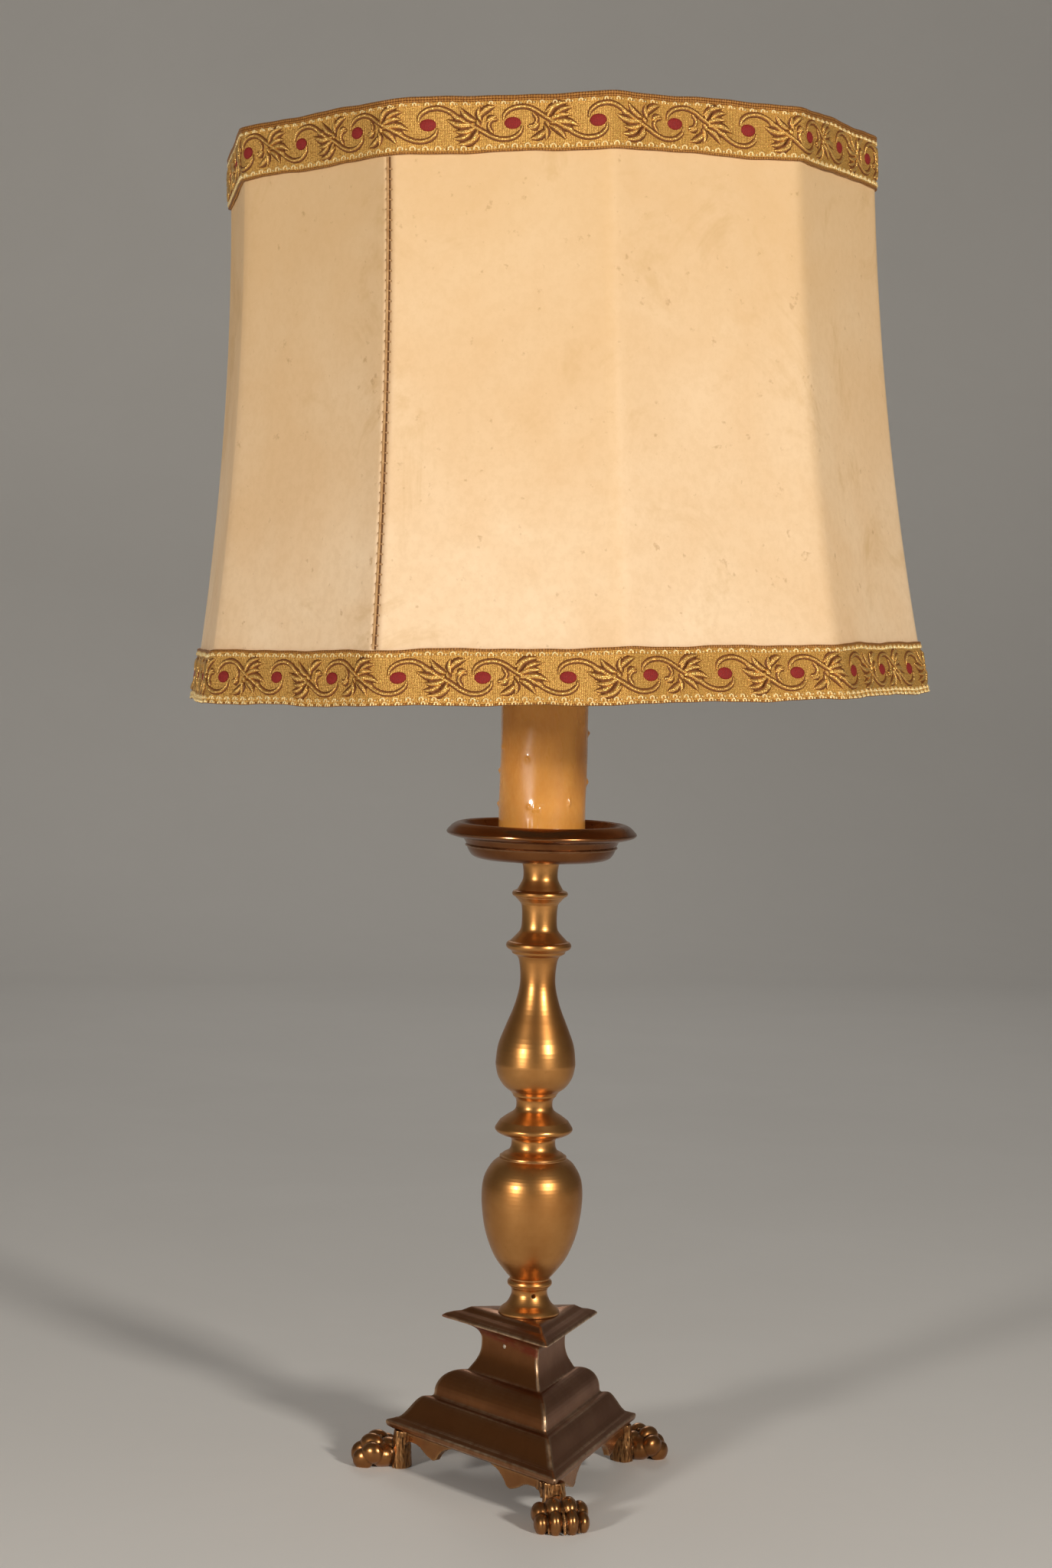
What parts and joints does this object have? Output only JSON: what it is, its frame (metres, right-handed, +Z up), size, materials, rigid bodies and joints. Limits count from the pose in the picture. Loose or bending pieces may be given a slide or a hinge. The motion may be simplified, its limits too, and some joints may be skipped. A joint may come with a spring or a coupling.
{
  "type": "table lamp with a laced shade",
  "caption": "Bronze candlestick table lamp with a three-pawed plinth, turned stem, wax candle sleeve and a laced ten-sided parchment shade.",
  "frame": {"origin": "on the stem's axis, at the level that the paws stand on", "axes": "+Z up along the stem; +Y away from the viewer; one paw and one corner of the shade point to -Y"},
  "size_m": [0.3636, 0.3795, 0.6863],
  "materials": {
    "bronze_dark": "dark brown satin patina",
    "bronze_paw": "rubbed patina",
    "bronze": "satin golden brown patina",
    "brass": "satin",
    "steel": "satin",
    "wire": "dull",
    "black_plastic": "matt",
    "porcelain": "glazed",
    "wax": "waxed, glossy",
    "glass": "clear",
    "parchment": "matt",
    "cord": "matt",
    "braid": "woven"
  },
  "bodies": {
    "base": {"plinth": "bronze_dark", "foot_front": "bronze_paw", "foot_right": "bronze_paw", "foot_left": "bronze_paw", "foot_screws": "steel", "stem_collar": "bronze", "urn_section": "bronze", "disc_section": "bronze", "pear_section": "bronze", "spool_section": "bronze", "drip_pan": "bronze", "centre_tube": "brass", "base_nut": "steel", "base_washer": "steel", "inlet_bush": "black_plastic", "pan_nut": "brass", "sleeve_cup": "brass", "candle_sleeve": "wax", "holder_cap": "brass", "holder_insulator": "porcelain", "centre_contact": "brass", "side_contact": "brass", "terminal_screws": "brass", "holder_liner": "brass", "holder_shell": "brass"},
    "lift_ring": {"lower_shade_ring": "brass"},
    "shade": {"fitter_ring": "wire", "fitter_arm_1": "wire", "fitter_arm_2": "wire", "fitter_arm_3": "wire", "rib_1": "wire", "rib_2": "wire", "rib_3": "wire", "rib_4": "wire", "rib_5": "wire", "rib_6": "wire", "rib_7": "wire", "rib_8": "wire", "rib_9": "wire", "rib_10": "wire", "top_wire": "wire", "bottom_wire": "wire", "skin_front": "parchment", "skin_back": "parchment", "lacing_front": "cord", "lacing_back": "cord", "top_braid": "braid", "bottom_braid": "braid"},
    "top_ring": {"upper_shade_ring": "brass"},
    "bulb": {"bulb_cap": "steel", "bulb_insulator": "black_plastic", "bulb_tip": "steel", "bulb_glass": "glass", "bulb_mount": "glass", "bulb_leads": "steel", "bulb_filament": "steel"}
  },
  "joints": [
    {"name": "shade_lift", "type": "slide", "parent": "base", "child": "lift_ring", "axis": [0, 0, 1], "range_m": [0, 0.1]},
    {"name": "shade_turn", "type": "hinge", "parent": "lift_ring", "child": "shade", "pos_m": [0, 0, 0.51015], "axis": [0, 0, 1], "continuous": true},
    {"name": "ring_unscrew", "type": "hinge", "parent": "shade", "child": "top_ring", "pos_m": [0, 0, 0.513], "axis": [0, 0, 1], "range_deg": [0, 720]},
    {"name": "bulb_lift", "type": "slide", "parent": "base", "child": "bulb", "axis": [0, 0, 1], "range_m": [0, 0.1]}
  ]
}
